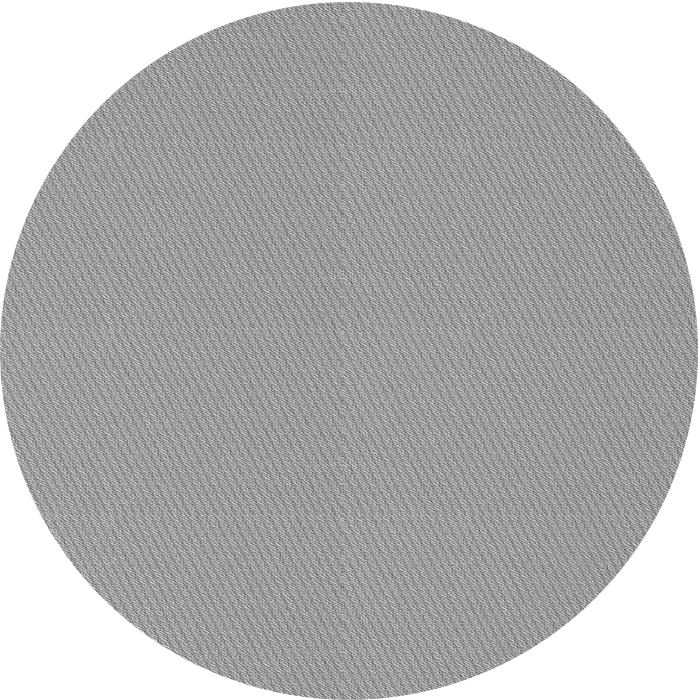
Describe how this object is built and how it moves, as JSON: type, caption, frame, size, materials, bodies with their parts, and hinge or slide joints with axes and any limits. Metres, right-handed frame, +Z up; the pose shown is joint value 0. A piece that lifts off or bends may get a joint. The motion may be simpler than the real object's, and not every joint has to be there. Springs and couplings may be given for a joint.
{
  "type": "collapsible backdrop panel",
  "caption": "Round fabric backdrop panel on a spring steel hoop that folds about upright lines, with a swinging tab and ring behind its top to hang it by.",
  "frame": {"origin": "where a hook bears, at the top of the inside of the hanging ring, 4.55 mm below the top of the rim and 6.2 mm behind the hoop's mid-plane", "axes": "+Z up as hung, +X to the right seen from the front, +Y out of the back; the printed front faces -Y"},
  "size_m": [1.5, 0.0126, 1.5001],
  "materials": {
    "printed_cloth": "matte, printed with an enlarged grey twill",
    "reverse_cloth": "matte plain weave",
    "casing_tape": "matte",
    "spring_steel": "blued",
    "plated_steel": "bright plated",
    "shrink_tube": "satin",
    "webbing": "ribbed nylon",
    "label_satin": "satin"
  },
  "bodies": {
    "strip_left_3": {"front_cloth_left_3": "printed_cloth", "reverse_cloth_left_3": "reverse_cloth", "casing_left_3_top": "casing_tape", "casing_left_3_bottom": "casing_tape", "casing_left_3_side": "casing_tape", "hoop_left_3": "spring_steel"},
    "strip_left_2": {"front_cloth_left_2": "printed_cloth", "reverse_cloth_left_2": "reverse_cloth", "casing_left_2_top": "casing_tape", "casing_left_2_bottom": "casing_tape", "hoop_left_2_top": "spring_steel", "hoop_left_2_bottom": "spring_steel"},
    "strip_left_1": {"front_cloth_left_1": "printed_cloth", "reverse_cloth_left_1": "reverse_cloth", "casing_left_1_top": "casing_tape", "casing_left_1_bottom": "casing_tape", "hoop_left_1_top": "spring_steel", "hoop_left_1_bottom": "spring_steel", "care_label": "label_satin"},
    "strip_centre": {"front_cloth_centre": "printed_cloth", "reverse_cloth_centre": "reverse_cloth", "casing_centre_top": "casing_tape", "casing_centre_bottom": "casing_tape", "hoop_centre_top": "spring_steel", "hoop_centre_bottom_left": "spring_steel", "hoop_centre_bottom_right": "spring_steel", "hoop_ferrule": "plated_steel", "hoop_shrink_sleeve": "shrink_tube", "hanger_patch": "webbing"},
    "strip_right_1": {"front_cloth_right_1": "printed_cloth", "reverse_cloth_right_1": "reverse_cloth", "casing_right_1_top": "casing_tape", "casing_right_1_bottom": "casing_tape", "hoop_right_1_top": "spring_steel", "hoop_right_1_bottom": "spring_steel"},
    "strip_right_2": {"front_cloth_right_2": "printed_cloth", "reverse_cloth_right_2": "reverse_cloth", "casing_right_2_top": "casing_tape", "casing_right_2_bottom": "casing_tape", "hoop_right_2_top": "spring_steel", "hoop_right_2_bottom": "spring_steel"},
    "strip_right_3": {"front_cloth_right_3": "printed_cloth", "reverse_cloth_right_3": "reverse_cloth", "casing_right_3_top": "casing_tape", "casing_right_3_bottom": "casing_tape", "casing_right_3_side": "casing_tape", "hoop_right_3": "spring_steel"},
    "hanger_tab": {"hanger_tab": "webbing"},
    "hanger_ring": {"hanger_ring": "plated_steel"}
  },
  "joints": [
    {"name": "fold_left_1", "type": "hinge", "parent": "strip_centre", "child": "strip_left_1", "pos_m": [-0.08, -0.0062, -0.74545], "axis": [0, 0, 1], "range_deg": [-40, 40], "stiffness_Nm_per_rad": 8},
    {"name": "fold_left_2", "type": "hinge", "parent": "strip_left_1", "child": "strip_left_2", "pos_m": [-0.24, -0.0062, -0.74545], "axis": [0, 0, 1], "range_deg": [-40, 40], "stiffness_Nm_per_rad": 8},
    {"name": "fold_left_3", "type": "hinge", "parent": "strip_left_2", "child": "strip_left_3", "pos_m": [-0.4, -0.0062, -0.74545], "axis": [0, 0, 1], "range_deg": [-40, 40], "stiffness_Nm_per_rad": 8},
    {"name": "fold_right_1", "type": "hinge", "parent": "strip_centre", "child": "strip_right_1", "pos_m": [0.08, -0.0062, -0.74545], "axis": [0, 0, -1], "range_deg": [-40, 40], "stiffness_Nm_per_rad": 8},
    {"name": "fold_right_2", "type": "hinge", "parent": "strip_right_1", "child": "strip_right_2", "pos_m": [0.24, -0.0062, -0.74545], "axis": [0, 0, -1], "range_deg": [-40, 40], "stiffness_Nm_per_rad": 8},
    {"name": "fold_right_3", "type": "hinge", "parent": "strip_right_2", "child": "strip_right_3", "pos_m": [0.4, -0.0062, -0.74545], "axis": [0, 0, -1], "range_deg": [-40, 40], "stiffness_Nm_per_rad": 8},
    {"name": "tab_swing", "type": "hinge", "parent": "strip_centre", "child": "hanger_tab", "pos_m": [0, 0, -0.01945], "axis": [-1, 0, 0], "range_deg": [0, 150]},
    {"name": "ring_swing", "type": "hinge", "parent": "hanger_tab", "child": "hanger_ring", "pos_m": [0, 0, -0.01075], "axis": [-1, 0, 0], "range_deg": [0, 75]}
  ],
  "couplings": [
    {"joint": "fold_left_2", "follows": "fold_left_1", "ratio": 1},
    {"joint": "fold_left_3", "follows": "fold_left_1", "ratio": 1},
    {"joint": "fold_right_1", "follows": "fold_left_1", "ratio": 1},
    {"joint": "fold_right_2", "follows": "fold_left_1", "ratio": 1},
    {"joint": "fold_right_3", "follows": "fold_left_1", "ratio": 1}
  ]
}
